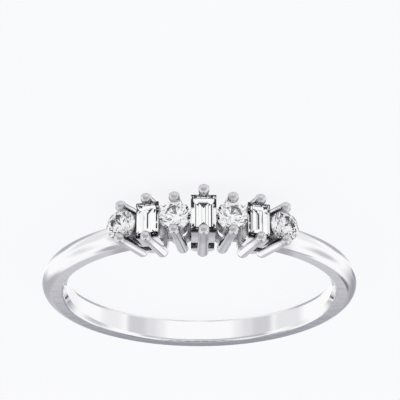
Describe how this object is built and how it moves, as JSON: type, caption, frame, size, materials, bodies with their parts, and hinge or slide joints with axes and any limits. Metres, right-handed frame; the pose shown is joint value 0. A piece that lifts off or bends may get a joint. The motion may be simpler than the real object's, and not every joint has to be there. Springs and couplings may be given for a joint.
{
  "type": "baguette diamond ring",
  "caption": "Slim domed ring. A row of round and baguette stones stands across its top, held by claws over open galleries.",
  "frame": {"origin": "centre of the finger hole, at the middle of the band's width", "axes": "+Z along the finger axis, up as the ring lies on its side; the stones face -Y; +X runs along the row of stones"},
  "size_m": [0.019, 0.0214, 0.003],
  "materials": {
    "white_gold": "polished white gold",
    "round_stone": "clear, brilliant cut",
    "baguette_stone": "clear, step cut"
  },
  "bodies": {
    "root": {"ring_mount": "white_gold", "round_1": "round_stone", "baguette_2": "baguette_stone", "round_3": "round_stone", "baguette_4": "baguette_stone", "round_5": "round_stone", "baguette_6": "baguette_stone", "round_7": "round_stone"}
  },
  "joints": []
}
